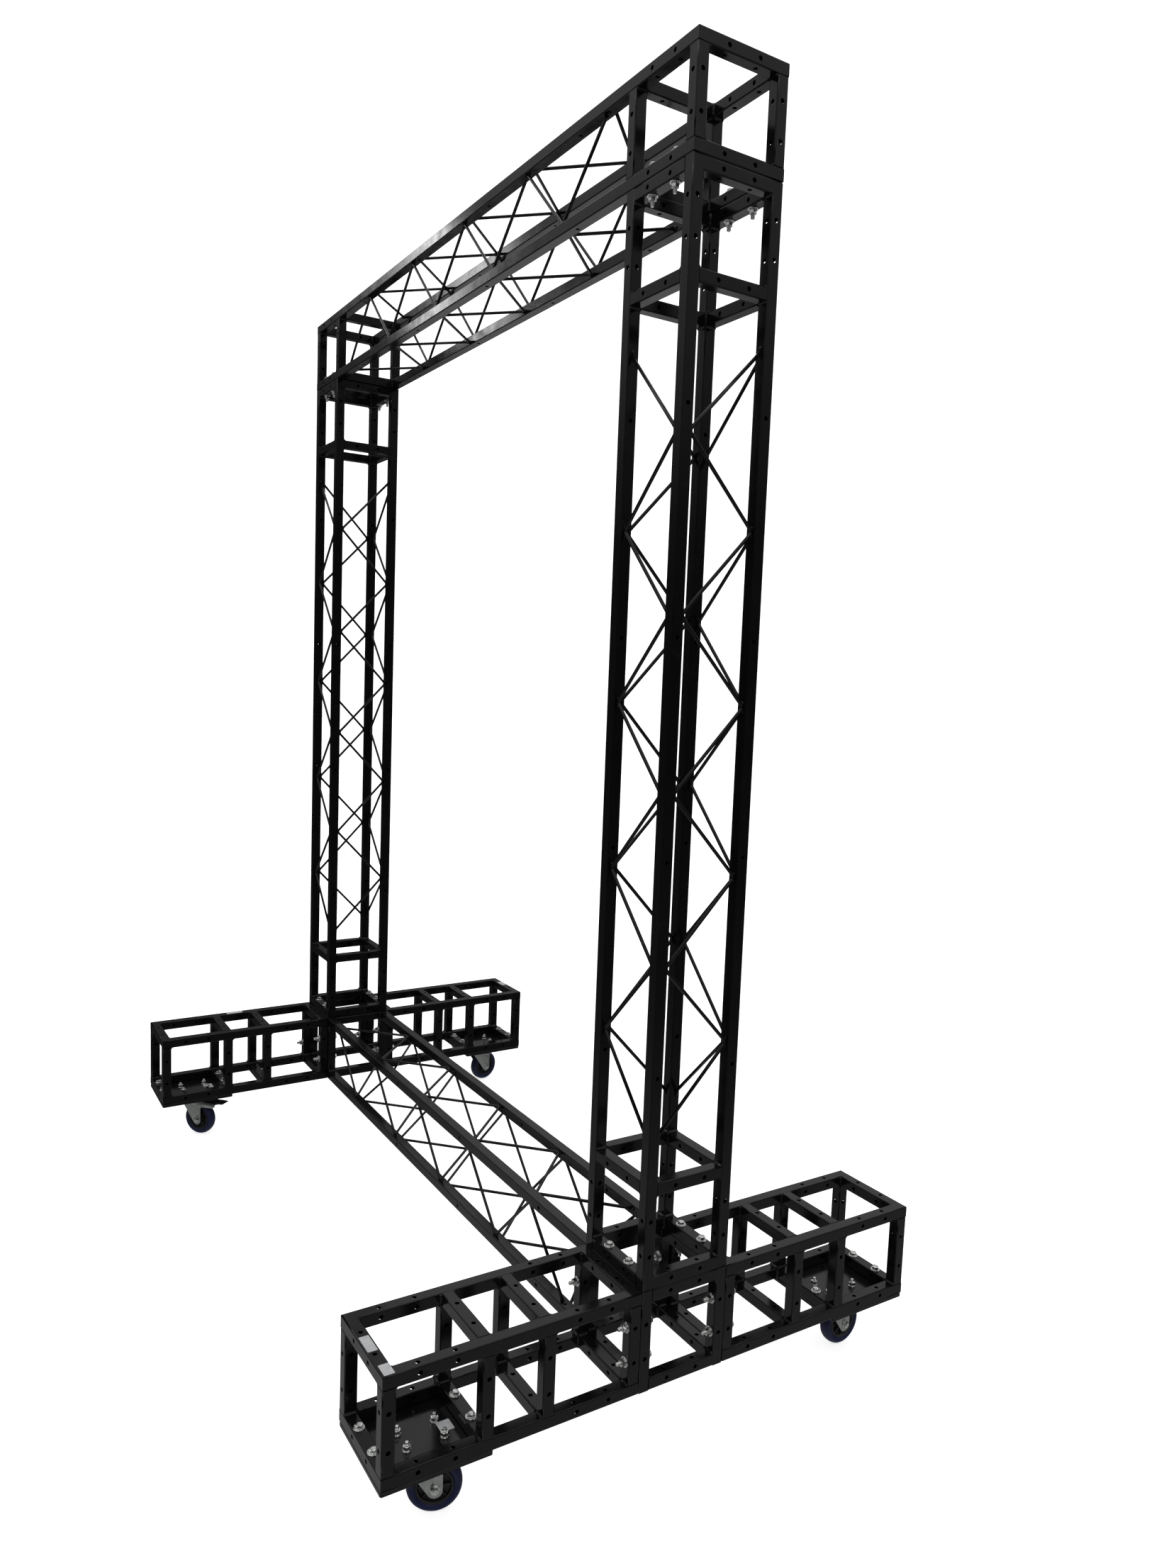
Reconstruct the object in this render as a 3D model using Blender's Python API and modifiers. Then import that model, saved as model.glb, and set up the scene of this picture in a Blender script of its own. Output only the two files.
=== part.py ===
"""Mobile truss arch: two outrigger feet on castors, two columns and a top beam.

Origin on the floor under the middle of the arch. +X runs across the arch to its right column,
+Y runs from the front outriggers to the back ones, and +Z is up.
"""
import math

import bmesh
import bpy
from mathutils import Matrix

# Square tube truss
SECTION = 0.200            # outside width of every truss
TUBE = 0.0245              # square tube, outside
BEAM_LENGTH = 1.985        # top and bottom beams, also the outside width of the arch
COLUMN_LENGTH = 2.015
OUTRIGGER_LENGTH = 0.508
RING_OFFSET = 0.194        # end of a truss to the middle of its first ring
GAP = 0.0003               # between bolted faces

# Lattice rods welded between the chords
ROD_RADIUS = 0.004
ROD_INSET = 0.009          # outside face of the truss to the middle of the rods
NODE_COUNT = 10
FIRST_NODE = 0.2916        # end of a truss to the first lattice node

# Castors
PLATE_THICKNESS = 0.008
PLATE_LENGTH = 0.206
CASTOR_HEIGHT = 0.132      # floor to the underside of the mounting plate
WHEEL_RADIUS = 0.050
WHEEL_WIDTH = 0.028
TRAIL = 0.0255             # swivel axis to wheel axis
AXLE_RADIUS = 0.005
RUNNING = 0.00008          # radial clearance of a running fit
HUB_RADIUS = 0.0345
LEG_INSIDE = 0.0165        # middle of the fork to the inside of a leg
LEG_THICKNESS = 0.003
CROWN_TOP = 0.1172
CROWN_THICKNESS = 0.003
SWIVEL_X = 0.8965
SWIVEL_Y = 0.4965
STUD_X = 0.0225            # castor stud pattern, half spacings
STUD_Y = 0.0355
LEG_FOOT = 0.014           # radius of the foot of a fork leg
PEDAL_PIVOT = (0.079, 0.1060)

FRAME_Z = CASTOR_HEIGHT + PLATE_THICKNESS + GAP
COLUMN_Z = FRAME_Z + SECTION + GAP
TOP_Z = COLUMN_Z + COLUMN_LENGTH + GAP
COLUMN_X = BEAM_LENGTH / 2 - SECTION / 2
OUTRIGGER_Y = SECTION / 2 + GAP + OUTRIGGER_LENGTH / 2
FOOT_END = SECTION / 2 + GAP + OUTRIGGER_LENGTH

BLACK_PAINT = ((0.012, 0.012, 0.014), 0.35, 0.1)
BLACK_PLATE = ((0.010, 0.010, 0.012), 0.28, 0.1)
ZINC = ((0.62, 0.64, 0.63), 0.38, 0.9)
HUB_BLACK = ((0.015, 0.016, 0.018), 0.5, 0.0)
NAVY_TYRE = ((0.016, 0.028, 0.085), 0.55, 0.0)

for old in list(bpy.data.objects):
    bpy.data.objects.remove(old, do_unlink=True)

PARTS = bpy.data.collections.new("mobile_truss_arch")
CUTTERS = bpy.data.collections.new("cutters")
for collection in (PARTS, CUTTERS):
    bpy.context.scene.collection.children.link(collection)


def material(name, look):
    color, roughness, metallic = look
    mat = bpy.data.materials.new(name)
    mat.use_nodes = True
    shader = mat.node_tree.nodes["Principled BSDF"]
    shader.inputs["Base Color"].default_value = (*color, 1.0)
    shader.inputs["Roughness"].default_value = roughness
    shader.inputs["Metallic"].default_value = metallic
    return mat


def place(name, data, look, location=(0, 0, 0), rotation=(0, 0, 0), parent=None):
    """Add an object to the parts collection, with its own data and its own material."""
    own = data.copy()
    own.name = name
    own.materials.clear()
    own.materials.append(material(name + "_finish", look))
    ob = bpy.data.objects.new(name, own)
    PARTS.objects.link(ob)
    ob.location = location
    ob.rotation_euler = rotation
    ob.parent = parent
    return ob


def add_box(bm, size, center):
    verts = bmesh.ops.create_cube(bm, size=1.0)["verts"]
    bmesh.ops.scale(bm, vec=size, verts=verts)
    bmesh.ops.translate(bm, vec=center, verts=verts)


def add_prism(bm, radius, depth, center, sides, along_x=False):
    """A cylinder or a hexagonal prism along Z, or along X."""
    verts = bmesh.ops.create_cone(bm, cap_ends=True, segments=sides, radius1=radius,
                                  radius2=radius, depth=depth)["verts"]
    if along_x:
        turn = Matrix.Rotation(math.pi / 2, 3, "Y")
        bmesh.ops.rotate(bm, cent=(0, 0, 0), matrix=turn, verts=verts)
    bmesh.ops.translate(bm, vec=center, verts=verts)


def to_mesh(name, bm):
    mesh = bpy.data.meshes.new(name)
    bm.to_mesh(mesh)
    bm.free()
    return mesh


def cutter(name, mesh):
    ob = bpy.data.objects.new(name, mesh)
    CUTTERS.objects.link(ob)
    ob.hide_render = True
    ob.display_type = "WIRE"
    return ob


def combine(base, steps, name):
    """Boolean each (operation, mesh) of steps into the base mesh and return the result."""
    work = cutter(name + "_base", base)
    for index, (operation, mesh) in enumerate(steps):
        mod = work.modifiers.new(operation.lower(), "BOOLEAN")
        mod.operation = operation
        mod.solver = "EXACT"
        mod.object = cutter(f"{name}_{index}", mesh)
    bpy.context.view_layer.update()
    graph = bpy.context.evaluated_depsgraph_get()
    result = bpy.data.meshes.new_from_object(work.evaluated_get(graph))
    result.name = name
    for mod in list(work.modifiers):
        bpy.data.objects.remove(mod.object, do_unlink=True)
    bpy.data.objects.remove(work, do_unlink=True)
    return result


def evaluated(ob, name):
    """The mesh of an object with modifiers or of a curve, with its caps welded."""
    bpy.context.view_layer.update()
    graph = bpy.context.evaluated_depsgraph_get()
    mesh = bpy.data.meshes.new_from_object(ob.evaluated_get(graph))
    bm = bmesh.new()
    bm.from_mesh(mesh)
    bmesh.ops.remove_doubles(bm, verts=bm.verts, dist=0.00001)
    bm.to_mesh(mesh)
    bm.free()
    mesh.name = name
    bpy.data.objects.remove(ob, do_unlink=True)
    return mesh


def turned(name, profile, segments, along_x=False):
    """Screw a closed (radius, height) profile that runs down its outer side."""
    bm = bmesh.new()
    verts = [bm.verts.new((r, 0.0, z)) for r, z in profile]
    for a, b in zip(verts, verts[1:] + verts[:1]):
        bm.edges.new((a, b))
    ob = bpy.data.objects.new(name, to_mesh(name, bm))
    CUTTERS.objects.link(ob)
    mod = ob.modifiers.new("turn", "SCREW")
    mod.steps = segments
    mod.render_steps = segments
    mod.use_merge_vertices = True
    mod.merge_threshold = 0.00001
    mesh = evaluated(ob, name)
    if along_x:
        mesh.transform(Matrix.Rotation(math.pi / 2, 4, "Y"))
    mesh.shade_smooth()
    mesh.set_sharp_from_angle(angle=math.radians(35))
    return mesh


def outline(name, points, thickness):
    """A flat outline in the local YZ plane, extruded along X about x = 0."""
    curve = bpy.data.curves.new(name, "CURVE")
    curve.dimensions = "2D"
    curve.fill_mode = "BOTH"
    curve.extrude = thickness / 2
    spline = curve.splines.new("POLY")
    spline.points.add(len(points) - 1)
    spline.use_cyclic_u = True
    for point, (y, z) in zip(spline.points, points):
        point.co = (y, z, 0, 1)
    ob = bpy.data.objects.new(name, curve)
    CUTTERS.objects.link(ob)
    mesh = evaluated(ob, name)
    mesh.transform(Matrix(((0, 0, 1, 0), (1, 0, 0, 0), (0, 1, 0, 0), (0, 0, 0, 1))))
    return mesh


def truss_frame(name, length, ring_offset):
    """Four chords with a ring at each end and one ring_offset in from each end, along X."""
    inside = SECTION - 2 * TUBE
    rings = [TUBE / 2, ring_offset, length - ring_offset, length - TUBE / 2]
    outer = bmesh.new()
    add_box(outer, (length, SECTION, SECTION), (0, 0, 0))
    core = bmesh.new()
    add_box(core, (length * 1.2, inside, inside), (0, 0, 0))
    through_y = bmesh.new()
    through_z = bmesh.new()
    for start, end in zip(rings, rings[1:]):
        bay = end - start - TUBE
        middle = (start + end) / 2 - length / 2
        add_box(through_y, (bay, SECTION * 1.4, inside), (middle, 0, 0))
        add_box(through_z, (bay, inside, SECTION * 1.4), (middle, 0, 0))
    cuts = [("DIFFERENCE", to_mesh(name + "_cut", bm)) for bm in (core, through_y, through_z)]
    return combine(to_mesh(name, outer), cuts, name)


def lattice_rod(name, length, side, first_at_plus):
    """One zigzag rod in a face of a truss along X.

    side is the face's outward direction, and first_at_plus tells whether the first node, at the
    +X end, is on the chord on the positive side of the face.
    """
    across = SECTION / 2 - TUBE - ROD_RADIUS - GAP
    out = SECTION / 2 - ROD_INSET
    pitch = (length - 2 * FIRST_NODE) / (NODE_COUNT - 1)
    curve = bpy.data.curves.new(name, "CURVE")
    curve.dimensions = "3D"
    curve.bevel_depth = ROD_RADIUS
    curve.bevel_resolution = 2
    curve.use_fill_caps = True
    spline = curve.splines.new("POLY")
    spline.points.add(NODE_COUNT - 1)
    for k, point in enumerate(spline.points):
        x = length / 2 - FIRST_NODE - k * pitch
        u = across if (k % 2 == 0) == first_at_plus else -across
        if side[1]:
            point.co = (x, side[1] * out, u, 1)
        else:
            point.co = (x, u, side[2] * out, 1)
    return curve


def long_truss(name, length, location, rotation, face_names):
    """A welded truss: its frame and its four lattice rods, which ride on the frame object."""
    frame = place(name, truss_frame(name, length, RING_OFFSET), BLACK_PAINT, location, rotation)
    faces = (((0, -1, 0), True), ((0, 1, 0), False), ((0, 0, 1), False), ((0, 0, -1), True))
    for (side, first_at_plus), face in zip(faces, face_names):
        rod_name = f"{name}_lattice_{face}"
        rod = lattice_rod(rod_name, length, side, first_at_plus)
        place(rod_name, rod, BLACK_PAINT, parent=frame)
    return frame


def mounting_plate(name, swivel_x, swivel_y):
    """Steel plate under the end bay, with the nuts of its castor on top.

    swivel_x and swivel_y are the swivel axis from the middle of the plate.
    """
    bm = bmesh.new()
    add_box(bm, (SECTION, PLATE_LENGTH, PLATE_THICKNESS), (0, 0, -PLATE_THICKNESS / 2))
    nuts = bmesh.new()
    studs = bmesh.new()
    for sx in (-1, 1):
        for sy in (-1, 1):
            x = swivel_x + sx * STUD_X
            y = swivel_y + sy * STUD_Y
            add_prism(nuts, 0.0075, 0.0070, (x, y, 0.0030), 6)
            add_prism(studs, 0.0040, 0.0160, (x, y, 0.0060), 8)
    steps = [("UNION", to_mesh("nuts", nuts)), ("UNION", to_mesh("studs", studs))]
    return combine(to_mesh(name, bm), steps, name)


def castor_base(name):
    """Top plate, raceway, kingpin and its head: the part of a castor that stays still."""
    under = CASTOR_HEIGHT - GAP
    plate = bmesh.new()
    add_box(plate, (0.065, 0.095, 0.003), (0, 0, under - 0.0015))
    race = CROWN_TOP + GAP
    head_top = CROWN_TOP - CROWN_THICKNESS - GAP
    profile = [(0.0, under - 0.001), (0.020, under - 0.001), (0.024, race + 0.006),
               (0.024, race), (0.006, race), (0.006, head_top), (0.010, head_top),
               (0.009, head_top - 0.004), (0.0, head_top - 0.004)]
    race_mesh = turned(name + "_race", profile, 24)
    return combine(to_mesh(name, plate), [("UNION", race_mesh)], name)


def arc(cy, cz, radius, start, end, count):
    """Points on an arc about (cy, cz), angles in degrees."""
    angles = [math.radians(start + (end - start) * i / (count - 1)) for i in range(count)]
    return [(cy + radius * math.cos(a), cz + radius * math.sin(a)) for a in angles]


def castor_fork(name, braked):
    """Pressed fork: a crown over the wheel and two tapering legs to the axle."""
    back = 0.092 if braked else 0.050
    rear = TRAIL + LEG_FOOT
    leg = [(-0.034, CROWN_TOP), (-0.034, 0.108)]
    leg += arc(TRAIL, WHEEL_RADIUS - 0.003, LEG_FOOT, 214, 360, 9)
    leg += [(rear, 0.087), (rear + 0.004, 0.0915), (back - 0.008, 0.0930), (back, 0.102),
            (back, 0.112), (back - 0.006, CROWN_TOP - 0.001), (0.040, CROWN_TOP)]
    middle = LEG_INSIDE + LEG_THICKNESS / 2
    crown = bmesh.new()
    size = (2 * (LEG_INSIDE + LEG_THICKNESS), 0.066, CROWN_THICKNESS)
    add_box(crown, size, (0, 0.001, CROWN_TOP - CROWN_THICKNESS / 2))
    steps = []
    for side in (-1, 1):
        mesh = outline(name + "_leg", leg, LEG_THICKNESS)
        mesh.transform(Matrix.Translation((side * middle, 0, 0)))
        steps.append(("UNION", mesh))
    bores = bmesh.new()
    add_prism(bores, AXLE_RADIUS + RUNNING, 0.08, (0, TRAIL, WHEEL_RADIUS), 24, along_x=True)
    add_prism(bores, 0.006 + RUNNING, 0.02, (0, 0, CROWN_TOP), 24)
    if braked:
        add_prism(bores, 0.0025 + RUNNING, 0.08, (0, *PEDAL_PIVOT), 16, along_x=True)
    steps.append(("DIFFERENCE", to_mesh("bores", bores)))
    return combine(to_mesh(name, crown), steps, name)


def castor_axle(name):
    """Axle bolt with its head and nut outside the legs, about its own axis."""
    outside = LEG_INSIDE + LEG_THICKNESS + GAP
    shank = bmesh.new()
    add_prism(shank, AXLE_RADIUS, 2 * (outside + 0.009), (0, 0, 0), 24, along_x=True)
    ends = bmesh.new()
    for side in (-1, 1):
        add_prism(ends, 0.0092, 0.006, (side * (outside + 0.003), 0, 0), 6, along_x=True)
    return combine(to_mesh(name, shank), [("UNION", to_mesh("ends", ends))], name)


def castor_hub(name):
    """Wheel centre with a bearing boss, a web and a rim, about the axle."""
    bore = AXLE_RADIUS + RUNNING
    half = LEG_INSIDE - 0.0010
    rim = WHEEL_WIDTH / 2 - 0.002
    profile = [(bore, half), (0.011, half), (0.013, 0.006), (HUB_RADIUS - 0.005, 0.006),
               (HUB_RADIUS - 0.004, rim), (HUB_RADIUS, rim), (HUB_RADIUS, -rim),
               (HUB_RADIUS - 0.004, -rim), (HUB_RADIUS - 0.005, -0.006), (0.013, -0.006),
               (0.011, -half), (bore, -half)]
    return turned(name, profile, 24, along_x=True)


def castor_tyre(name):
    """Tyre with rounded shoulders, about the axle."""
    inner = HUB_RADIUS + GAP
    half = WHEEL_WIDTH / 2
    profile = [(inner, half - 0.002), (0.041, half), (0.0455, half - 0.001),
               (0.0488, half - 0.005), (WHEEL_RADIUS, half - 0.011),
               (WHEEL_RADIUS, 0.011 - half), (0.0488, 0.005 - half), (0.0455, 0.001 - half),
               (0.041, -half), (inner, 0.002 - half)]
    return turned(name, profile, 40, along_x=True)


def brake_pedal(name):
    """Wheel brake: a bent pedal with a pivot barrel between the fork's cheeks."""
    shape = [(-0.030, 0.001), (-0.010, -0.003), (0.006, -0.004), (0.037, 0.002),
             (0.038, 0.006), (0.020, 0.006), (0.006, 0.005), (-0.030, 0.005)]
    width = 2 * LEG_INSIDE - 0.003
    pedal = outline(name, shape, width)
    barrel = bmesh.new()
    length = 2 * (LEG_INSIDE + LEG_THICKNESS) + 0.002
    add_prism(barrel, 0.0025, length, (0, 0, 0), 16, along_x=True)
    return combine(pedal, [("UNION", to_mesh("barrel", barrel))], name)


truss_z = FRAME_Z + SECTION / 2
long_truss("bottom_beam", BEAM_LENGTH, (0, 0, truss_z), (math.pi / 2, 0, 0),
           ("lower", "upper", "front", "back"))
long_truss("top_beam", BEAM_LENGTH, (0, 0, TOP_Z + SECTION / 2), (0, 0, 0),
           ("front", "back", "upper", "lower"))
for side_name, sx in (("right", 1), ("left", -1)):
    middle_z = COLUMN_Z + COLUMN_LENGTH / 2
    long_truss(f"column_{side_name}", COLUMN_LENGTH, (sx * COLUMN_X, 0, middle_z),
               (0, -math.pi / 2, 0), ("front", "back", "left", "right"))

outrigger = truss_frame("outrigger", OUTRIGGER_LENGTH, RING_OFFSET)
hub = castor_hub("hub")
tyre = castor_tyre("tyre")
axle = castor_axle("axle")
base = castor_base("base")
plate_y = FOOT_END - PLATE_LENGTH / 2

corners = (("front_right", 1, -1, -21.0), ("front_left", -1, -1, -50.5),
           ("back_left", -1, 1, 11.0), ("back_right", 1, 1, 2.0))
for corner, sx, sy, yaw in corners:
    place(f"outrigger_{corner}", outrigger, BLACK_PAINT,
          (sx * COLUMN_X, sy * OUTRIGGER_Y, truss_z), (0, 0, math.pi / 2))
    offset_x = sx * (SWIVEL_X - COLUMN_X)
    offset_y = sy * (SWIVEL_Y - plate_y)
    plate = mounting_plate("mounting_plate", offset_x, offset_y)
    place(f"mounting_plate_{corner}", plate, BLACK_PLATE,
          (sx * COLUMN_X, sy * plate_y, FRAME_Z - GAP))

    swivel = (sx * SWIVEL_X, sy * SWIVEL_Y, 0)
    turn = (0, 0, math.radians(yaw))
    braked = corner == "front_left"
    place(f"castor_base_{corner}", base, ZINC, swivel)
    fork = place(f"castor_fork_{corner}", castor_fork("fork", braked), ZINC, swivel, turn)
    wheel_axis = (0, TRAIL, WHEEL_RADIUS)
    place(f"castor_axle_{corner}", axle, ZINC, wheel_axis, parent=fork)
    wheel = place(f"castor_hub_{corner}", hub, HUB_BLACK, wheel_axis, parent=fork)
    place(f"castor_tyre_{corner}", tyre, NAVY_TYRE, parent=wheel)
    if braked:
        place(f"castor_brake_{corner}", brake_pedal("brake"), ZINC, (0, *PEDAL_PIVOT),
              parent=fork)

bpy.context.view_layer.update()
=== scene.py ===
import math
import random

import bmesh
import bpy
from mathutils import Matrix, Vector


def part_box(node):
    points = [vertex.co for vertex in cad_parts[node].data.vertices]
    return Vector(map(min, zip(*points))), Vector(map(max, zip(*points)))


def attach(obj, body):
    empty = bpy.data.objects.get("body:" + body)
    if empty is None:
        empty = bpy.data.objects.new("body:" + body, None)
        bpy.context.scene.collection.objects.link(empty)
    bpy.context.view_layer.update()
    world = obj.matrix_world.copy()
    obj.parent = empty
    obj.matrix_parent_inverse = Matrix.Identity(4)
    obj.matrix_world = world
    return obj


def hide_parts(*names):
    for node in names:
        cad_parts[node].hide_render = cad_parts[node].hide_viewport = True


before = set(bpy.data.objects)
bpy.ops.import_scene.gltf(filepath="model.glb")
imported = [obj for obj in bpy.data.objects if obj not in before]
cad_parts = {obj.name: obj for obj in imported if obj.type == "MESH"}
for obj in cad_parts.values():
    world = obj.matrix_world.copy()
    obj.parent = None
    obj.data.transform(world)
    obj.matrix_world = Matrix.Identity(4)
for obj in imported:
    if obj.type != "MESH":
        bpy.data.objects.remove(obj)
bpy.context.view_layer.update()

# Places and sizes read from the CAD model
foot_low, foot_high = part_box("bottom_beam")
top_low, top_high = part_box("top_beam")
column_low, column_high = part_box("column_right")
outrigger_low, outrigger_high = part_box("outrigger_back_right")
SECTION = foot_high.z - foot_low.z
BEAM_LENGTH = foot_high.x - foot_low.x
COLUMN_LENGTH = column_high.z - column_low.z
OUTRIGGER_LENGTH = outrigger_high.y - outrigger_low.y
FRAME_Z = foot_low.z
COLUMN_X = (column_low.x + column_high.x) / 2
FOOT_END = outrigger_high.y
SEAM_Y = (foot_high.y + outrigger_low.y) / 2
HALF = SECTION / 2

# Square tube and rod
TUBE = 0.0245
WALL = 0.0016
CORNER = 0.0022            # radius of a tube's edges
FLAT = TUBE / 2 - CORNER
HOLE_RADIUS = 0.0045
BAY_HOLE = 0.17            # holes from the middle of a bay, in sections
RING_OFFSET = 0.194
CHORD_HOLES = (0.2, 0.6)   # holes from the middle of a long truss, metres
CENTRE = HALF - TUBE / 2   # middle of a chord from the middle of its truss
INSIDE = HALF - TUBE
ROD_RADIUS = 0.0035        # half a millimetre less than the CAD rods
ROD_INSET = 0.009
ROD_BEND = 0.008
NODE_COUNT = 10
FIRST_NODE = 0.2916
WELD = 0.0042              # size of a corner bead
TRUSS_BOLT_TAIL = 0.009    # thread past the nut

# Castors
PLATE = 0.008
PLATE_GAP = 0.0003         # from the truss down to a plate
PLATE_BOLT_TAIL = 0.005
BASE_SHEET = 0.003
STUD_TAIL = 0.006
SWIVEL_X, SWIVEL_Y = 0.8965, 0.4965
STUD_X, STUD_Y = 0.0225, 0.0355
TRAIL = 0.0255
WHEEL_RADIUS = 0.050
CROWN_TOP = 0.1172
CORNERS = (("front_right", 1, -1, -21.0), ("front_left", -1, -1, -50.5),
           ("back_left", -1, 1, 11.0), ("back_right", 1, 1, 2.0))


# ---------------------------------------------------------------- materials

def new_material(name, roughness, metallic=0.0):
    mat = bpy.data.materials.new(name)
    mat.use_nodes = True
    nodes = mat.node_tree.nodes
    shader = nodes["Principled BSDF"]
    shader.inputs["Roughness"].default_value = roughness
    shader.inputs["Metallic"].default_value = metallic
    place = nodes.new("ShaderNodeTexCoord")
    return mat, shader, place.outputs["Object"]


def noise(mat, where, scale, detail=4.0, roughness=0.55):
    node = mat.node_tree.nodes.new("ShaderNodeTexNoise")
    node.inputs["Scale"].default_value = scale
    node.inputs["Detail"].default_value = detail
    node.inputs["Roughness"].default_value = roughness
    mat.node_tree.links.new(where, node.inputs["Vector"])
    return node.outputs["Fac"]


def ramp(mat, factor, stops):
    """Colour or grey along a factor: stops are (position, colour)."""
    node = mat.node_tree.nodes.new("ShaderNodeValToRGB")
    element = node.color_ramp.elements
    while len(element) < len(stops):
        element.new(0.5)
    for slot, (position, color) in zip(element, stops):
        slot.position = position
        slot.color = (*color, 1.0)
    mat.node_tree.links.new(factor, node.inputs["Fac"])
    return node.outputs["Color"]


def spread(mat, factor, low, high):
    """A number from low to high as a noise goes through its usual range."""
    node = mat.node_tree.nodes.new("ShaderNodeMapRange")
    node.inputs["From Min"].default_value = 0.3
    node.inputs["From Max"].default_value = 0.7
    node.inputs["To Min"].default_value = low
    node.inputs["To Max"].default_value = high
    mat.node_tree.links.new(factor, node.inputs["Value"])
    return node.outputs["Result"]


def mix(mat, factor, first, second):
    node = mat.node_tree.nodes.new("ShaderNodeMix")
    node.data_type = "RGBA"
    mat.node_tree.links.new(factor, node.inputs["Factor"])
    mat.node_tree.links.new(first, node.inputs["A"])
    mat.node_tree.links.new(second, node.inputs["B"])
    return node.outputs["Result"]


def bump(mat, shader, height, strength, distance):
    node = mat.node_tree.nodes.new("ShaderNodeBump")
    node.inputs["Strength"].default_value = strength
    node.inputs["Distance"].default_value = distance
    mat.node_tree.links.new(height, node.inputs["Height"])
    mat.node_tree.links.new(node.outputs["Normal"], shader.inputs["Normal"])


def link(mat, output, shader, socket):
    mat.node_tree.links.new(output, shader.inputs[socket])


def grey(value, tint=0.0):
    return (value, value, value + tint)


def powder_coat(name, dark, light, low, high, gloss):
    """Black powder coat: slow changes of tone, orange peel, dust and a few rubbed marks."""
    mat, shader, where = new_material(name, 0.35)
    tone = ramp(mat, noise(mat, where, 7.0, 5.0), ((0.3, dark), (0.7, light)))
    dust = ramp(mat, noise(mat, where, 34.0, 8.0, 0.7),
                ((0.58, grey(0.0)), (0.78, grey(0.5))))
    dusty = ramp(mat, noise(mat, where, 3.0), ((0.3, grey(0.016, 0.001)), (0.7, grey(0.030))))
    coat = mix(mat, dust, tone, dusty)
    rubbed = ramp(mat, noise(mat, where, 95.0, 9.0, 0.75),
                  ((0.70, grey(0.0)), (0.74, grey(0.55))))
    metal = ramp(mat, noise(mat, where, 12.0), ((0.3, grey(0.05)), (0.7, grey(0.11))))
    link(mat, mix(mat, rubbed, coat, metal), shader, "Base Color")
    link(mat, spread(mat, noise(mat, where, 26.0, 6.0), low, high), shader, "Roughness")
    shader.inputs["IOR"].default_value = gloss
    bump(mat, shader, noise(mat, where, 160.0, 2.0), 0.015, 0.0002)
    return mat


def zinc_plate(name, dark, light):
    """Bright zinc: a faint crystal pattern, uneven polish and tiny pits."""
    mat, shader, where = new_material(name, 0.35, 1.0)
    crystal = mat.node_tree.nodes.new("ShaderNodeTexVoronoi")
    crystal.inputs["Scale"].default_value = 260.0
    mat.node_tree.links.new(where, crystal.inputs["Vector"])
    cells = ramp(mat, crystal.outputs["Distance"], ((0.0, dark), (0.8, light)))
    smear = ramp(mat, noise(mat, where, 55.0, 6.0), ((0.35, dark), (0.65, light)))
    link(mat, mix(mat, noise(mat, where, 20.0), cells, smear), shader, "Base Color")
    link(mat, spread(mat, noise(mat, where, 140.0, 5.0), 0.14, 0.28), shader, "Roughness")
    bump(mat, shader, noise(mat, where, 900.0, 4.0), 0.12, 0.0003)
    return mat


def rubber(name, dark, light, low, high, scuffs):
    """Elastic rubber or plastic: mottled, scuffed and slightly dusty."""
    mat, shader, where = new_material(name, 0.5)
    tone = ramp(mat, noise(mat, where, 38.0, 6.0), ((0.3, dark), (0.7, light)))
    scuff = ramp(mat, noise(mat, where, 210.0, 8.0, 0.7),
                 ((0.62, grey(0.0)), (0.76, grey(scuffs))))
    dust = ramp(mat, noise(mat, where, 15.0), ((0.3, grey(0.02)), (0.7, grey(0.045))))
    link(mat, mix(mat, scuff, tone, dust), shader, "Base Color")
    link(mat, spread(mat, noise(mat, where, 90.0, 5.0), low, high), shader, "Roughness")
    bump(mat, shader, noise(mat, where, 700.0, 5.0), 0.18, 0.0004)
    return mat


def paper(name, dark, light):
    mat, shader, where = new_material(name, 0.42)
    tone = ramp(mat, noise(mat, where, 120.0, 6.0), ((0.3, dark), (0.7, light)))
    link(mat, tone, shader, "Base Color")
    link(mat, spread(mat, noise(mat, where, 60.0), 0.34, 0.52), shader, "Roughness")
    bump(mat, shader, noise(mat, where, 400.0), 0.05, 0.0003)
    return mat


COAT = powder_coat("black_coat", grey(0.0035, 0.0003), grey(0.0065, 0.0004), 0.11, 0.19, 1.33)
PLATE_COAT = powder_coat("plate_coat", grey(0.0030, 0.0003), grey(0.0050, 0.0004), 0.12, 0.20, 1.36)
ZINC = zinc_plate("bright_zinc", (0.50, 0.51, 0.50), (0.72, 0.73, 0.71))
FORK_ZINC = zinc_plate("dull_zinc", (0.26, 0.275, 0.265), (0.40, 0.42, 0.40))
TYRE = rubber("navy_rubber", (0.0008, 0.004, 0.040), (0.0016, 0.008, 0.072), 0.50, 0.66, 0.1)
HUB = rubber("hub_plastic", (0.003, 0.003, 0.0035), (0.007, 0.007, 0.008), 0.40, 0.55, 0.15)
PEDAL = rubber("pedal_coat", (0.008, 0.008, 0.009), (0.018, 0.018, 0.019), 0.34, 0.50, 0.35)
LABEL = paper("label_paper", (0.46, 0.47, 0.48), (0.58, 0.59, 0.60))
PRINT = paper("label_print", (0.10, 0.105, 0.11), (0.18, 0.185, 0.19))


# ---------------------------------------------------------------- mesh building

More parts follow.
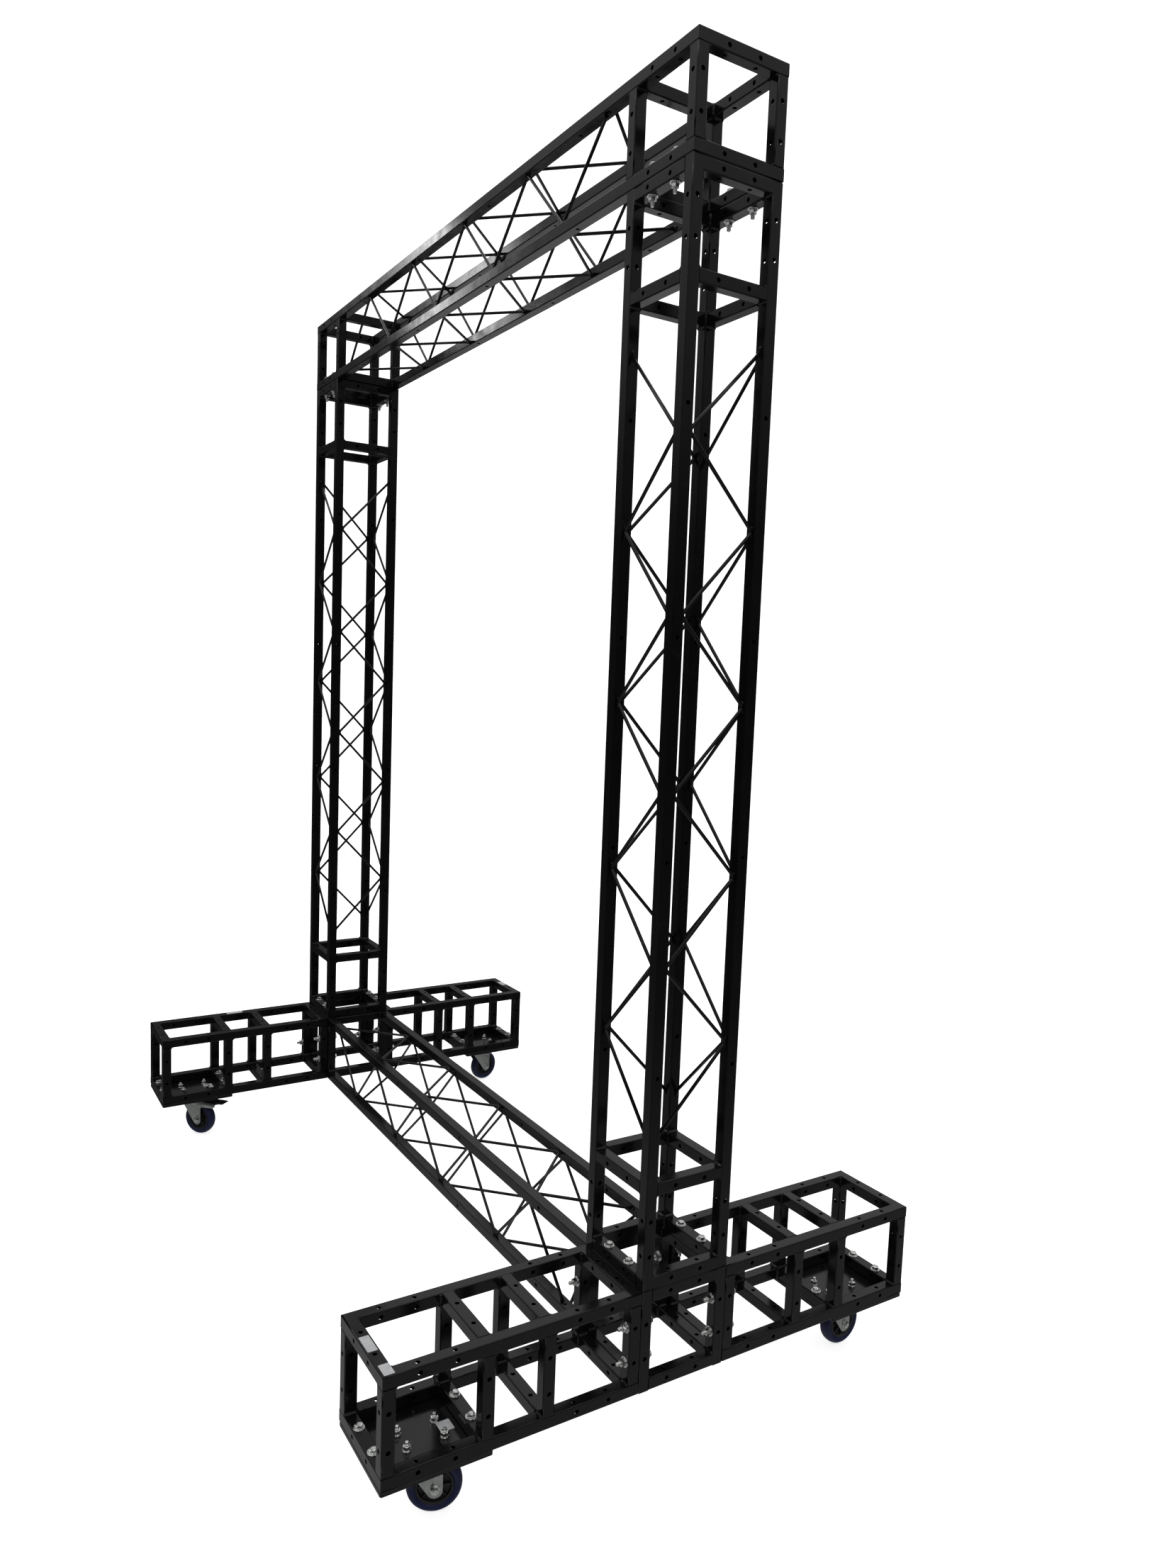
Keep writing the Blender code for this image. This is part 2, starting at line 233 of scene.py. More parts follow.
class Piece:
    """The surfaces of one piece, gathered part by part."""

    def __init__(self):
        self.verts = []
        self.faces = []
        self.smooth = []
        self.slots = []

    def add(self, part, matrix=None, slot=0):
        verts, faces, smooth = part
        start = len(self.verts)
        for co in verts:
            self.verts.append(matrix @ Vector(co) if matrix else Vector(co))
        for face in faces:
            self.faces.append([start + i for i in face])
        self.smooth.extend(smooth if isinstance(smooth, list) else [smooth] * len(faces))
        self.slots.extend([slot] * len(faces))

    def mesh(self, name):
        mesh = bpy.data.meshes.new(name)
        mesh.from_pydata(self.verts, [], self.faces)
        mesh.polygons.foreach_set("use_smooth", self.smooth)
        mesh.polygons.foreach_set("material_index", self.slots)
        bm = bmesh.new()
        bm.from_mesh(mesh)
        loose = [v for v in bm.verts if not v.link_faces]
        bmesh.ops.delete(bm, geom=loose, context="VERTS")
        bmesh.ops.recalc_face_normals(bm, faces=bm.faces)
        bm.to_mesh(mesh)
        bm.free()
        return mesh


def show(name, mesh, materials, body, nodes=(), matrix=None, sharp=None):
    """Put a piece in the scene, on its CAD body and in the place of its CAD nodes."""
    mesh.materials.clear()
    for mat in materials:
        mesh.materials.append(mat)
    if sharp is not None:
        mesh.shade_smooth()
        mesh.set_sharp_from_angle(angle=math.radians(sharp))
    ob = bpy.data.objects.new(name, mesh)
    bpy.context.scene.collection.objects.link(ob)
    if matrix:
        ob.matrix_world = matrix
    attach(ob, body)
    if nodes:
        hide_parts(*nodes)
    return ob


def square_outline(half, radius):
    """24 points round a square tube: 4 across each side and 2 on each corner."""
    flat = half - radius
    points = []
    for side in range(4):
        c, s = math.cos(side * math.pi / 2), math.sin(side * math.pi / 2)
        local = [(half, u) for u in (-flat, -flat / 3, flat / 3, flat)]
        for step in (math.pi / 6, math.pi / 3):
            local.append((flat + radius * math.cos(step), flat + radius * math.sin(step)))
        points.extend((y * c - z * s, y * s + z * c) for y, z in local)
    return points


PATCH = ((0, 3), (1, 3), (2, 3), (3, 3), (3, 2), (3, 1), (3, 0), (2, 0), (1, 0), (0, 0), (0, 1), (0, 2))
Y_WALLS, Z_WALLS, ALL_WALLS = (0, 2), (1, 3), (0, 1, 2, 3)


def tube(length, holes, trim=None):
    """A hollow square tube along +X. holes are (x, walls drilled there).

    trim gives how much is cut off both ends at (y, z), for a mitre.
    """
    verts, faces, smooth = [], [], []
    stations = [0.0]
    for x, _ in holes:
        stations += [x - FLAT, x - FLAT / 3, x + FLAT / 3, x + FLAT]
    stations.append(length)
    last = len(stations) - 1
    layers = []
    for half, radius in ((TUBE / 2, CORNER), (TUBE / 2 - WALL, CORNER - WALL)):
        rows = []
        for i, x in enumerate(stations):
            row = []
            for y, z in square_outline(half, radius):
                at = x
                if i == 0 and trim:
                    at = trim(y, z)
                if i == last and trim:
                    at = length - trim(y, z)
                row.append(len(verts))
                verts.append((at, y, z))
            rows.append(row)
        circles = []
        for n, (x, walls) in enumerate(holes):
            for side in walls:
                c, s = math.cos(side * math.pi / 2), math.sin(side * math.pi / 2)
                circle = []
                for k in range(12):
                    a = math.radians(30 * k - 45)
                    u = HOLE_RADIUS * math.cos(a)
                    circle.append(len(verts))
                    verts.append((x + HOLE_RADIUS * math.sin(a), half * c - u * s, half * s + u * c))
                circles.append((n, side, circle))
        layers.append((rows, circles))

    for inner, (rows, circles) in enumerate(layers):
        found = []
        for i in range(last):
            drilled = 1 <= i < last and (i - 1) % 4 != 3
            for k in range(24):
                if drilled and k % 6 < 3 and k // 6 in holes[(i - 1) // 4][1]:
                    continue
                j = (k + 1) % 24
                found.append(((rows[i][k], rows[i][j], rows[i + 1][j], rows[i + 1][k]), k % 6 > 2))
        for n, side, circle in circles:
            border = [rows[1 + 4 * n + r][side * 6 + c] for r, c in PATCH]
            for k in range(12):
                j = (k + 1) % 12
                found.append(((border[k], border[j], circle[j], circle[k]), False))
        for face, soft in found:
            faces.append(face[::-1] if inner else face)
            smooth.append(soft)

    (rows, circles), (inner_rows, inner_circles) = layers
    for (_, _, circle), (_, _, inner) in zip(circles, inner_circles):
        for k in range(12):
            j = (k + 1) % 12
            faces.append((circle[k], circle[j], inner[j], inner[k]))
            smooth.append(True)
    for k in range(24):
        j = (k + 1) % 24
        faces.append((rows[0][k], inner_rows[0][k], inner_rows[0][j], rows[0][j]))
        faces.append((rows[last][k], rows[last][j], inner_rows[last][j], inner_rows[last][k]))
        smooth += [False, False]
    return verts, faces, smooth


def bead(start, end, side_a, side_b, size, chance):
    """A slightly uneven weld bead from start to end, in the corner of two surfaces.

    side_a and side_b are the directions that the bead's legs run along.
    """
    start, end, a, b = (Vector(v) for v in (start, end, side_a, side_b))
    verts, faces = [], []
    steps = 5
    for i in range(steps + 1):
        centre = start.lerp(end, i / steps)
        r = size * chance.uniform(0.80, 1.20)
        for p, q in ((-0.15, -0.15), (1.0, -0.1), (0.62, 0.22), (0.40, 0.40), (0.22, 0.62), (-0.1, 1.0)):
            verts.append(centre + a * (p * r) + b * (q * r))
    for i in range(steps):
        for k in range(6):
            j = (k + 1) % 6
            faces.append((6 * i + k, 6 * i + j, 6 * i + 6 + j, 6 * i + 6 + k))
    faces.append(tuple(range(6)))
    faces.append(tuple(range(6 * steps, 6 * steps + 6)))
    return verts, faces, [True] * (6 * steps) + [False, False]


def blob(size, chance):
    """A lump of weld: a rough ellipsoid of half axes size, about the origin."""
    verts, faces = [], []
    rings, around = 4, 8
    verts.append(Vector((0, 0, size[2])))
    for i in range(1, rings):
        polar = math.pi * i / rings
        for k in range(around):
            turn = 2 * math.pi * k / around
            r = chance.uniform(0.85, 1.12)
            verts.append(Vector((size[0] * math.sin(polar) * math.cos(turn) * r,
                                 size[1] * math.sin(polar) * math.sin(turn) * r,
                                 size[2] * math.cos(polar) * r)))
    verts.append(Vector((0, 0, -size[2])))
    for k in range(around):
        j = (k + 1) % around
        faces.append((0, 1 + k, 1 + j))
        for i in range(rings - 2):
            first = 1 + i * around
            faces.append((first + k, first + around + k, first + around + j, first + j))
        base = 1 + (rings - 2) * around
        faces.append((base + j, base + k, len(verts) - 1))
    return verts, faces, True


def turned(profile, segments):
    """A profile of (radius, height) turned about Z, smooth all over. show() creases it."""
    verts, faces = [], []

    def ring_at(r, z):
        first = len(verts)
        if r < 1e-7:
            verts.append((0, 0, z))
            return [first] * segments
        for k in range(segments):
            a = 2 * math.pi * k / segments
            verts.append((r * math.cos(a), r * math.sin(a), z))
        return [first + k for k in range(segments)]

    rings = [ring_at(r, z) for r, z in profile]
    for above, below in zip(rings, rings[1:]):
        for k in range(segments):
            j = (k + 1) % segments
            face = [above[k], below[k], below[j], above[j]]
            face = [v for n, v in enumerate(face) if v not in face[:n]]
            if len(face) > 2:
                faces.append(tuple(face))
    return verts, faces, True


def hex_part(across, bottom, top, chamfer_top=True, chamfer_bottom=False):
    """A hexagon with its corners taken off by a turned chamfer, along Z."""
    corner = across / math.sqrt(3)
    middle = across / 2
    drop = (corner - middle * 0.96) * 0.6
    rows = []
    ends = ((bottom, chamfer_bottom, 1), (top, chamfer_top, -1))
    for z, chamfer, way in ends:
        outline = [(corner if k % 2 == 0 else middle) for k in range(12)]
        lowered = [z + way * (drop if k % 2 == 0 else drop * 0.25) * chamfer for k in range(12)]
        flat = [(middle * 0.93 if chamfer else r) for r in outline]
        rim = [(outline[k], lowered[k]) for k in range(12)]
        face = [(flat[k], z) for k in range(12)]
        rows.extend([face, rim] if way == 1 else [rim, face])
    verts, faces = [], []
    for row in rows:
        for k, (r, z) in enumerate(row):
            a = math.radians(30 * k)
            verts.append((r * math.cos(a), r * math.sin(a), z))
    for i in range(3):
        for k in range(12):
            j = (k + 1) % 12
            faces.append((12 * i + k, 12 * i + j, 12 * i + 12 + j, 12 * i + 12 + k))
    faces.append(tuple(range(11, -1, -1)))
    faces.append(tuple(range(36, 48)))
    return verts, faces, False


def disc(radius, bottom, top, bevel=0.0004, segments=24):
    profile = [(0, top), (radius - bevel, top), (radius, top - bevel), (radius, bottom + bevel),
               (radius - bevel, bottom), (0, bottom)]
    return turned(profile, segments)


def threaded(radius, bottom, top, pitch=0.00125):
    """The end of a screw thread along Z, as rounded ridges, with a chamfered tip at the bottom."""
    profile = [(0, top), (radius * 0.93, top)]
    z = top
    while z - pitch > bottom + 0.0008:
        profile += [(radius, z - pitch * 0.3), (radius * 0.88, z - pitch * 0.8)]
        z -= pitch
    profile += [(radius * 0.86, bottom + 0.0006), (radius * 0.72, bottom), (0, bottom)]
    return turned(profile, 12)


def bolt(chance, grip, tail, across=0.013, washer=0.0105, screw=0.004):
    """A hexagon bolt with washers and a nut, clamping from z = 0 down to z = -grip."""
    parts = Piece()
    spin = Matrix.Rotation(chance.uniform(0, 1.0), 4, "Z")
    nut_spin = Matrix.Rotation(chance.uniform(0, 1.0), 4, "Z")
    parts.add(disc(washer, 0.00005, 0.0016))
    parts.add(disc(across * 0.62, 0.0016, 0.0024))
    parts.add(hex_part(across, 0.0024, 0.0076), spin)
    parts.add(disc(across * 0.30, 0.0074, 0.0079, 0.0002, 12))
    parts.add(disc(screw * 0.97, -grip - 0.0009, 0.0005, 0.0002, 12))
    parts.add(disc(washer, -grip - 0.0017, -grip - 0.00005))
    parts.add(disc(across * 0.57, -grip - 0.0033, -grip - 0.0017))
    parts.add(hex_part(across, -grip - 0.0098, -grip - 0.0033, True, True), nut_spin)
    parts.add(threaded(screw, -grip - 0.0098 - tail, -grip - 0.0090))
    return parts.verts, parts.faces, parts.smooth


def along(direction, point):
    """A matrix whose Z runs along direction, at a point."""
    turn = Vector(direction).to_track_quat("Z", "Y").to_matrix().to_4x4()
    return Matrix.Translation(point) @ turn


# ---------------------------------------------------------------- trusses

def tube_between(piece, axis, centre, length, holes, trim=None):
    """A drilled tube centred on a point, along X, Y or Z. trim(y, z) is cut off both ends."""
    turn = {"X": Matrix.Identity(4), "Y": Matrix.Rotation(math.pi / 2, 4, "Z"),
            "Z": Matrix.Rotation(-math.pi / 2, 4, "Y")}[axis]
    middle = Matrix.Translation((-length / 2, 0, 0))
    piece.add(tube(length, holes, trim), Matrix.Translation(centre) @ turn @ middle)


def truss_mesh(name, length, chord_holes):
    """Chords and rings of drilled tube along X, with the welds in their inside corners."""
    piece = Piece()
    chance = random.Random(name)
    end = length / 2
    bay = [SECTION * (0.5 + way * BAY_HOLE) for way in (-1, 1)]
    holes = [(x, ALL_WALLS) for x in bay] + [(end + x, Z_WALLS) for x in chord_holes]
    holes += [(length - x, ALL_WALLS) for x in reversed(bay)]
    short = 2 * INSIDE
    post = [short / 2 + SECTION * BAY_HOLE * way for way in (-1, 1)]
    for sy in (-1, 1):
        for sz in (-1, 1):
            tube_between(piece, "X", (0, sy * CENTRE, sz * CENTRE), length, holes,
                         lambda y, z, sy=sy: TUBE / 2 - sy * y)
    for sx in (-1, 1):
        for s in (-1, 1):
            at = sx * (end - TUBE / 2)
            tube_between(piece, "Y", (at, 0, s * CENTRE), SECTION, [(x, ALL_WALLS) for x in bay],
                         lambda y, z, sx=sx: TUBE / 2 + sx * y)
            tube_between(piece, "Z", (at, s * CENTRE, 0), short, [(x, ALL_WALLS) for x in post])
            at = sx * (end - RING_OFFSET)
            tube_between(piece, "Y", (at, 0, s * CENTRE), short, [(x, Z_WALLS) for x in post])
            tube_between(piece, "Z", (at, s * CENTRE, 0), short, [(x, Y_WALLS) for x in post])
        for sy in (-1, 1):
            for sz in (-1, 1):
                weld_corner(piece, sx, sy, sz, end, chance)
    return piece.mesh(name)


def weld_corner(piece, sx, sy, sz, end, chance):
    """Weld beads where an end ring and an inner ring meet one chord."""
    size = WELD
    inner = end - TUBE
    y_in, z_in = sy * INSIDE, sz * INSIDE
    y_out, z_out = sy * (HALF - 0.0012), sz * (HALF - 0.0012)
    piece.add(bead((sx * inner, y_in, z_in), (sx * inner, y_in, z_out), (-sx, 0, 0), (0, -sy, 0),
                   size, chance))
    piece.add(bead((sx * inner, y_in, z_in), (sx * inner, y_out, z_in), (-sx, 0, 0), (0, 0, -sz),
                   size, chance))
    piece.add(bead((sx * inner, y_in, z_in), (sx * (end - 0.001), y_in, z_in), (0, -sy, 0),
                   (0, 0, -sz), size, chance))
    for way in (-1, 1):
        x = sx * (end - RING_OFFSET) + way * TUBE / 2
        piece.add(bead((x, y_in, z_in), (x, y_in, z_out), (way, 0, 0), (0, -sy, 0), size, chance))
        piece.add(bead((x, y_in, z_in), (x, y_out, z_in), (way, 0, 0), (0, 0, -sz), size, chance))
    x = sx * (end - RING_OFFSET)
    for across, down in (((0, 0, -sz), (0, -sy, 0)), ((0, -sy, 0), (0, 0, -sz))):
        piece.add(bead((x - TUBE / 2, y_in, z_in), (x + TUBE / 2, y_in, z_in), across, down,
                       size * 0.8, chance))


def rod_mesh(name, length, side, first_at_plus):
    """One bent rod in a face of a truss along X, with the welds at its nodes."""
    piece = Piece()
    chance = random.Random(name)
    pitch = (length - 2 * FIRST_NODE) / (NODE_COUNT - 1)
    slope = math.atan2(2 * INSIDE, pitch)
    rise = ROD_BEND * (1 / math.cos(slope) - 1)
    reach = INSIDE - ROD_RADIUS * 0.75 + rise

    def at(x, u):
        if side[1]:
            return Vector((x, side[1] * (HALF - ROD_INSET), u))
        return Vector((x, u, side[2] * (HALF - ROD_INSET)))

    nodes = []
    for k in range(NODE_COUNT):
        sign = 1 if (k % 2 == 0) == first_at_plus else -1
        ending = k in (0, NODE_COUNT - 1)
        nodes.append((length / 2 - FIRST_NODE - k * pitch, sign * (INSIDE if ending else reach)))
    path = [at(*nodes[0])]
    for before, here, after in zip(nodes, nodes[1:], nodes[2:]):
        bend = Vector(here)
        back = (Vector(before) - bend).normalized()
        on = (Vector(after) - bend).normalized()
        half_angle = back.angle(on) / 2
        run = ROD_BEND / math.tan(half_angle)
        middle = bend + (back + on).normalized() * (ROD_BEND / math.sin(half_angle))
        first = bend + back * run - middle
        last = bend + on * run - middle
        sweep = first.angle(last)
        for step in range(6):
            share = step / 5
            spoke = (first * math.sin((1 - share) * sweep) + last * math.sin(share * sweep))
            spoke /= math.sin(sweep)
            path.append(at(*(middle + spoke)))
    path.append(at(*nodes[-1]))

    up = Vector(side)
    verts, faces = [], []
    sides = 10
    for i, point in enumerate(path):
        ahead = path[min(i + 1, len(path) - 1)] - path[max(i - 1, 0)]
        across = up.cross(ahead.normalized())
        for k in range(sides):
            a = 2 * math.pi * k / sides
            verts.append(point + (up * math.cos(a) + across * math.sin(a)) * ROD_RADIUS)
    for i in range(len(path) - 1):
        for k in range(sides):
            j = (k + 1) % sides
            faces.append((sides * i + k, sides * i + j, sides * i + sides + j, sides * i + sides + k))
    count = len(faces)
    faces.append(tuple(range(sides)))
    faces.append(tuple(range(len(verts) - sides, len(verts))))
    piece.add((verts, faces, [True] * count + [False, False]))
    for x, u in nodes:
        sign = math.copysign(1, u)
        for way in (-1, 1):
            spot = at(x + way * chance.uniform(0.003, 0.006), sign * (INSIDE - 0.0008))
            lump = (chance.uniform(0.0050, 0.0068), 0.0034, 0.0026)
            if side[2]:
                lump = (lump[0], lump[2], lump[1])
            piece.add(blob(lump, chance), Matrix.Translation(spot))
    return piece.mesh(name)


def turned_about(axis, degrees, point):
    return Matrix.Translation(point) @ Matrix.Rotation(math.radians(degrees), 4, axis)


truss_z = FRAME_Z + HALF
centre_z = (column_low.z + column_high.z) / 2
top_z = (top_low.z + top_high.z) / 2
long_holes = sorted(way * x for x in CHORD_HOLES for way in (-1, 1))
FACES = (((0, -1, 0), True), ((0, 1, 0), False), ((0, 0, 1), False), ((0, 0, -1), True))
LONG = (
    ("bottom_beam", BEAM_LENGTH, turned_about("X", 90, (0, 0, truss_z)),
     ("lower", "upper", "front", "back")),
    ("top_beam", BEAM_LENGTH, Matrix.Translation((0, 0, top_z)),
     ("front", "back", "upper", "lower")),
    ("column_right", COLUMN_LENGTH, turned_about("Y", -90, (COLUMN_X, 0, centre_z)),
     ("front", "back", "left", "right")),
    ("column_left", COLUMN_LENGTH, turned_about("Y", -90, (-COLUMN_X, 0, centre_z)),
     ("front", "back", "left", "right")),
)
for name, length, matrix, names in LONG:
    mesh = truss_mesh(name + "_tubes", length, long_holes)
    show(name + "_tubes", mesh, [COAT], "frame", [name], matrix)
    for (side, first_at_plus), face in zip(FACES, names):
        node = f"{name}_lattice_{face}"
        rod = rod_mesh(node + "_rod", length, side, first_at_plus)
        show(node + "_rod", rod, [COAT], "frame", [node], matrix)

for corner, sx, sy, _ in CORNERS:
    node = f"outrigger_{corner}"
    middle = (sx * COLUMN_X, sy * (FOOT_END - OUTRIGGER_LENGTH / 2), truss_z)
    mesh = truss_mesh(node + "_tubes", OUTRIGGER_LENGTH, [])
    show(node + "_tubes", mesh, [COAT], "frame", [node],
         turned_about("Z", 90, middle))


# ---------------------------------------------------------------- bolts

def bolt_group(name, places, grip, tail, **sizes):
    """Bolts of one joint, as one piece. places are (point under the head, head direction)."""
    piece = Piece()
    chance = random.Random(name)
    for point, direction in places:
        piece.add(bolt(chance, grip, tail, **sizes), along(direction, point))
    show(name, piece.mesh(name), [ZINC], "frame", sharp=38)


reach = SECTION * BAY_HOLE
for side, sx in (("right", 1), ("left", -1)):
    spots = [(sx * COLUMN_X + way * reach, s * CENTRE) for way in (-1, 1) for s in (-1, 1)]
    seam = column_low.z - foot_high.z
    bolt_group(f"bolts_foot_{side}", [((x, y, column_low.z + TUBE), (0, 0, 1)) for x, y in spots],
               2 * TUBE + seam, TRUSS_BOLT_TAIL)
    seam = top_low.z - column_high.z
    bolt_group(f"bolts_top_{side}", [((x, y, top_low.z + TUBE), (0, 0, 1)) for x, y in spots],
               2 * TUBE + seam, TRUSS_BOLT_TAIL)

seam = outrigger_low.y - foot_high.y
for corner, sx, sy, _ in CORNERS:
    head = sy * SEAM_Y + TUBE + seam / 2
    spots = [(sx * COLUMN_X + a * CENTRE, truss_z + b * reach) for a in (-1, 1) for b in (-1, 1)]
    bolt_group(f"bolts_outrigger_{corner}", [((x, head, z), (0, 1, 0)) for x, z in spots],
               2 * TUBE + seam, TRUSS_BOLT_TAIL)
    rows = (sy * (FOOT_END - TUBE / 2), sy * (FOOT_END - RING_OFFSET))
    spots = [(sx * COLUMN_X + way * reach, y) for way in (-1, 1) for y in rows]
    plate_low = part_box(f"mounting_plate_{corner}")[0].z
    bolt_group(f"bolts_plate_{corner}", [((x, y, FRAME_Z + TUBE), (0, 0, 1)) for x, y in spots],
               FRAME_Z + TUBE - plate_low, PLATE_BOLT_TAIL)


# ---------------------------------------------------------------- plates and castors

def slab(size, centre, corner_radius, bevel):
    """A plate with rounded corners in plan and bevelled edges."""
    verts, faces = [], []
    outline = []
    for k, (sx, sy) in enumerate(((1, 1), (-1, 1), (-1, -1), (1, -1))):
        for step in range(5):
            a = math.radians(90 * k + 22.5 * step)
            outline.append((sx * (size[0] / 2 - corner_radius), sy * (size[1] / 2 - corner_radius),
                            math.cos(a), math.sin(a)))
    count = len(outline)
    for z, inset in ((-size[2] / 2, bevel), (-size[2] / 2 + bevel, 0), (size[2] / 2 - bevel, 0),
                     (size[2] / 2, bevel)):
        for x, y, c, s in outline:
            r = corner_radius - inset
            verts.append((centre[0] + x + c * r, centre[1] + y + s * r, centre[2] + z))
    for i in range(3):
        for k in range(count):
            j = (k + 1) % count
            faces.append((count * i + k, count * i + j, count * i + count + j, count * i + count + k))
    faces.append(tuple(range(count - 1, -1, -1)))
    faces.append(tuple(range(3 * count, 4 * count)))
    return verts, faces, False


def extruded(points, half, bevel):
    """An outline in the YZ plane made half thick each way along X, with bevelled edges."""
    bm = bmesh.new()
    rows = [[bm.verts.new((x, y, z)) for y, z in points] for x in (-half, half)]
    bm.faces.new(rows[0])
    bm.faces.new(rows[1][::-1])
    for k in range(len(points)):
        j = (k + 1) % len(points)
        bm.faces.new((rows[0][j], rows[0][k], rows[1][k], rows[1][j]))
    bmesh.ops.recalc_face_normals(bm, faces=bm.faces)
    rims = [e for e in bm.edges if abs(e.verts[0].co.x - e.verts[1].co.x) < 1e-7]
    bmesh.ops.bevel(bm, geom=rims, offset=bevel, segments=2, affect="EDGES")
    bm.verts.index_update()
    part = [v.co.copy() for v in bm.verts], [[v.index for v in f.verts] for f in bm.faces], True
    bm.free()
    return part


def arc(cy, cz, radius, start, end, count):
    angles = [math.radians(start + (end - start) * i / (count - 1)) for i in range(count)]
    return [(cy + radius * math.cos(a), cz + radius * math.sin(a)) for a in angles]


FORK_MIDDLE = 0.018        # middle of the fork to the middle of a leg's sheet
SHEET = 0.003
SHOULDER = 0.006           # bend between the crown and a leg


def fork_mesh(name, braked):
    """A fork pressed from one sheet: its flat pattern is bent over two shoulders."""
    crown_z = CROWN_TOP - SHEET / 2
    bend_start = FORK_MIDDLE - SHOULDER
    bend_length = SHOULDER * math.pi / 2
    leg_start = bend_start + bend_length

    def down(z):
        return leg_start + (crown_z - SHOULDER) - z

    back = 0.092 if braked else 0.050
    foot_z = WHEEL_RADIUS - 0.003
    rear = TRAIL + 0.014
    pattern = [(0.040, 0.0), (-0.028, 0.0), (-0.033, 0.006), (-0.034, leg_start),
               (-0.033, down(0.106))]
    pattern += [(y, down(z)) for y, z in arc(TRAIL, foot_z, 0.014, 214, 360, 12)]
    pattern += [(rear, down(0.085)), (rear + 0.0012, down(0.0892)), (rear + 0.0045, down(0.0915))]
    pattern += [(back - 0.008, down(0.0930)), (back - 0.002, down(0.0975)), (back, down(0.103))]
    if braked:
        pattern += [(back - 0.002, down(0.1085)), (0.046, down(0.1095)), (0.042, leg_start)]
    else:
        pattern += [(back, down(0.108)), (0.047, leg_start)]
    pattern += [(0.041, 0.006)]

    bm = bmesh.new()
    bm.faces.new([bm.verts.new((y, s, 0)) for y, s in pattern])
    for share in range(7):
        cut = bend_start + bend_length * share / 6
        geom = bm.verts[:] + bm.edges[:] + bm.faces[:]
        bmesh.ops.bisect_plane(bm, geom=geom, plane_co=(0, cut, 0), plane_no=(0, 1, 0))
    bmesh.ops.triangulate(bm, faces=bm.faces)
    copy = bmesh.ops.duplicate(bm, geom=bm.faces[:] + bm.edges[:] + bm.verts[:])["geom"]
    mirrored = [v for v in copy if isinstance(v, bmesh.types.BMVert)]
    for v in mirrored:
        v.co.y = -v.co.y
    bmesh.ops.reverse_faces(bm, faces=[f for f in copy if isinstance(f, bmesh.types.BMFace)])
    bmesh.ops.remove_doubles(bm, verts=bm.verts, dist=1e-6)
    for v in bm.verts:
        y, s = v.co.x, abs(v.co.y)
        way = -1 if v.co.y < 0 else 1
        if s <= bend_start:
            x, z = s, crown_z
        elif s <= leg_start:
            a = (s - bend_start) / SHOULDER
            x = bend_start + SHOULDER * math.sin(a)
            z = crown_z - SHOULDER * (1 - math.cos(a))
        else:
            x, z = FORK_MIDDLE, crown_z - SHOULDER - (s - leg_start)
        v.co = (way * x, y, z)
    bmesh.ops.recalc_face_normals(bm, faces=bm.faces)
    mesh = bpy.data.meshes.new(name)
    bm.to_mesh(mesh)
    bm.free()
    return mesh


def thicken(ob, thickness, bevel):
    """Give a sheet its thickness and softened edges."""
    solid = ob.modifiers.new("sheet", "SOLIDIFY")
    solid.thickness = thickness
    solid.offset = 0.0
    solid.use_even_offset = True
    edge = ob.modifiers.new("edges", "BEVEL")
    edge.width = bevel
    edge.segments = 2
    edge.limit_method = "ANGLE"
    edge.angle_limit = math.radians(50)


def wheel_turn(yaw, sx, sy):
    """The matrices of a castor: its swivel at floor level, and its wheel's axle with Z along it."""
    swivel = turned_about("Z", yaw, (sx * SWIVEL_X, sy * SWIVEL_Y, 0))
    axle = swivel @ Matrix.Translation((0, TRAIL, WHEEL_RADIUS)) @ Matrix.Rotation(math.pi / 2, 4, "Y")
    return swivel, axle


HUB_RADIUS = 0.0345


def hub_part():
    """Wheel centre: bearing boss, dished web, ribs and rim, turned about Z."""
    piece = Piece()
    half, rim = 0.0152, 0.0122
    profile = [(0.0052, half), (0.0092, half), (0.0098, half - 0.0006), (0.0108, 0.0075),
               (0.013, 0.0058), (0.026, 0.0058), (0.0285, 0.0072), (0.0300, rim - 0.0006),
               (0.0306, rim), (HUB_RADIUS - 0.0006, rim), (HUB_RADIUS, rim - 0.0006)]
    lower = [(r, -z) for r, z in reversed(profile)]
    piece.add(turned(profile + lower + profile[:1], 48))
    for k in range(8):
        turn = Matrix.Rotation(2 * math.pi * k / 8, 4, "Z")
        for way in (-1, 1):
            piece.add(slab((0.0205, 0.0026, 0.0050), (0.0200, 0, way * 0.0075), 0.0010, 0.0006), turn)
    return piece


def tyre_part():
    """Elastic tyre with a crowned tread and a bead line, turned about Z."""
    inner = HUB_RADIUS + 0.0002
    side = [(inner, 0.0110), (0.0362, 0.0122), (0.0372, 0.0121), (0.0378, 0.0128),
            (0.0410, 0.0138), (0.0436, 0.0136), (0.0455, 0.0127), (0.0470, 0.0112),
            (0.0482, 0.0092), (0.0492, 0.0065), (0.0498, 0.0034), (WHEEL_RADIUS, 0.0)]
    lower = [(r, -z) for r, z in reversed(side[:-1])]
    return turned(side + lower + side[:1], 72)


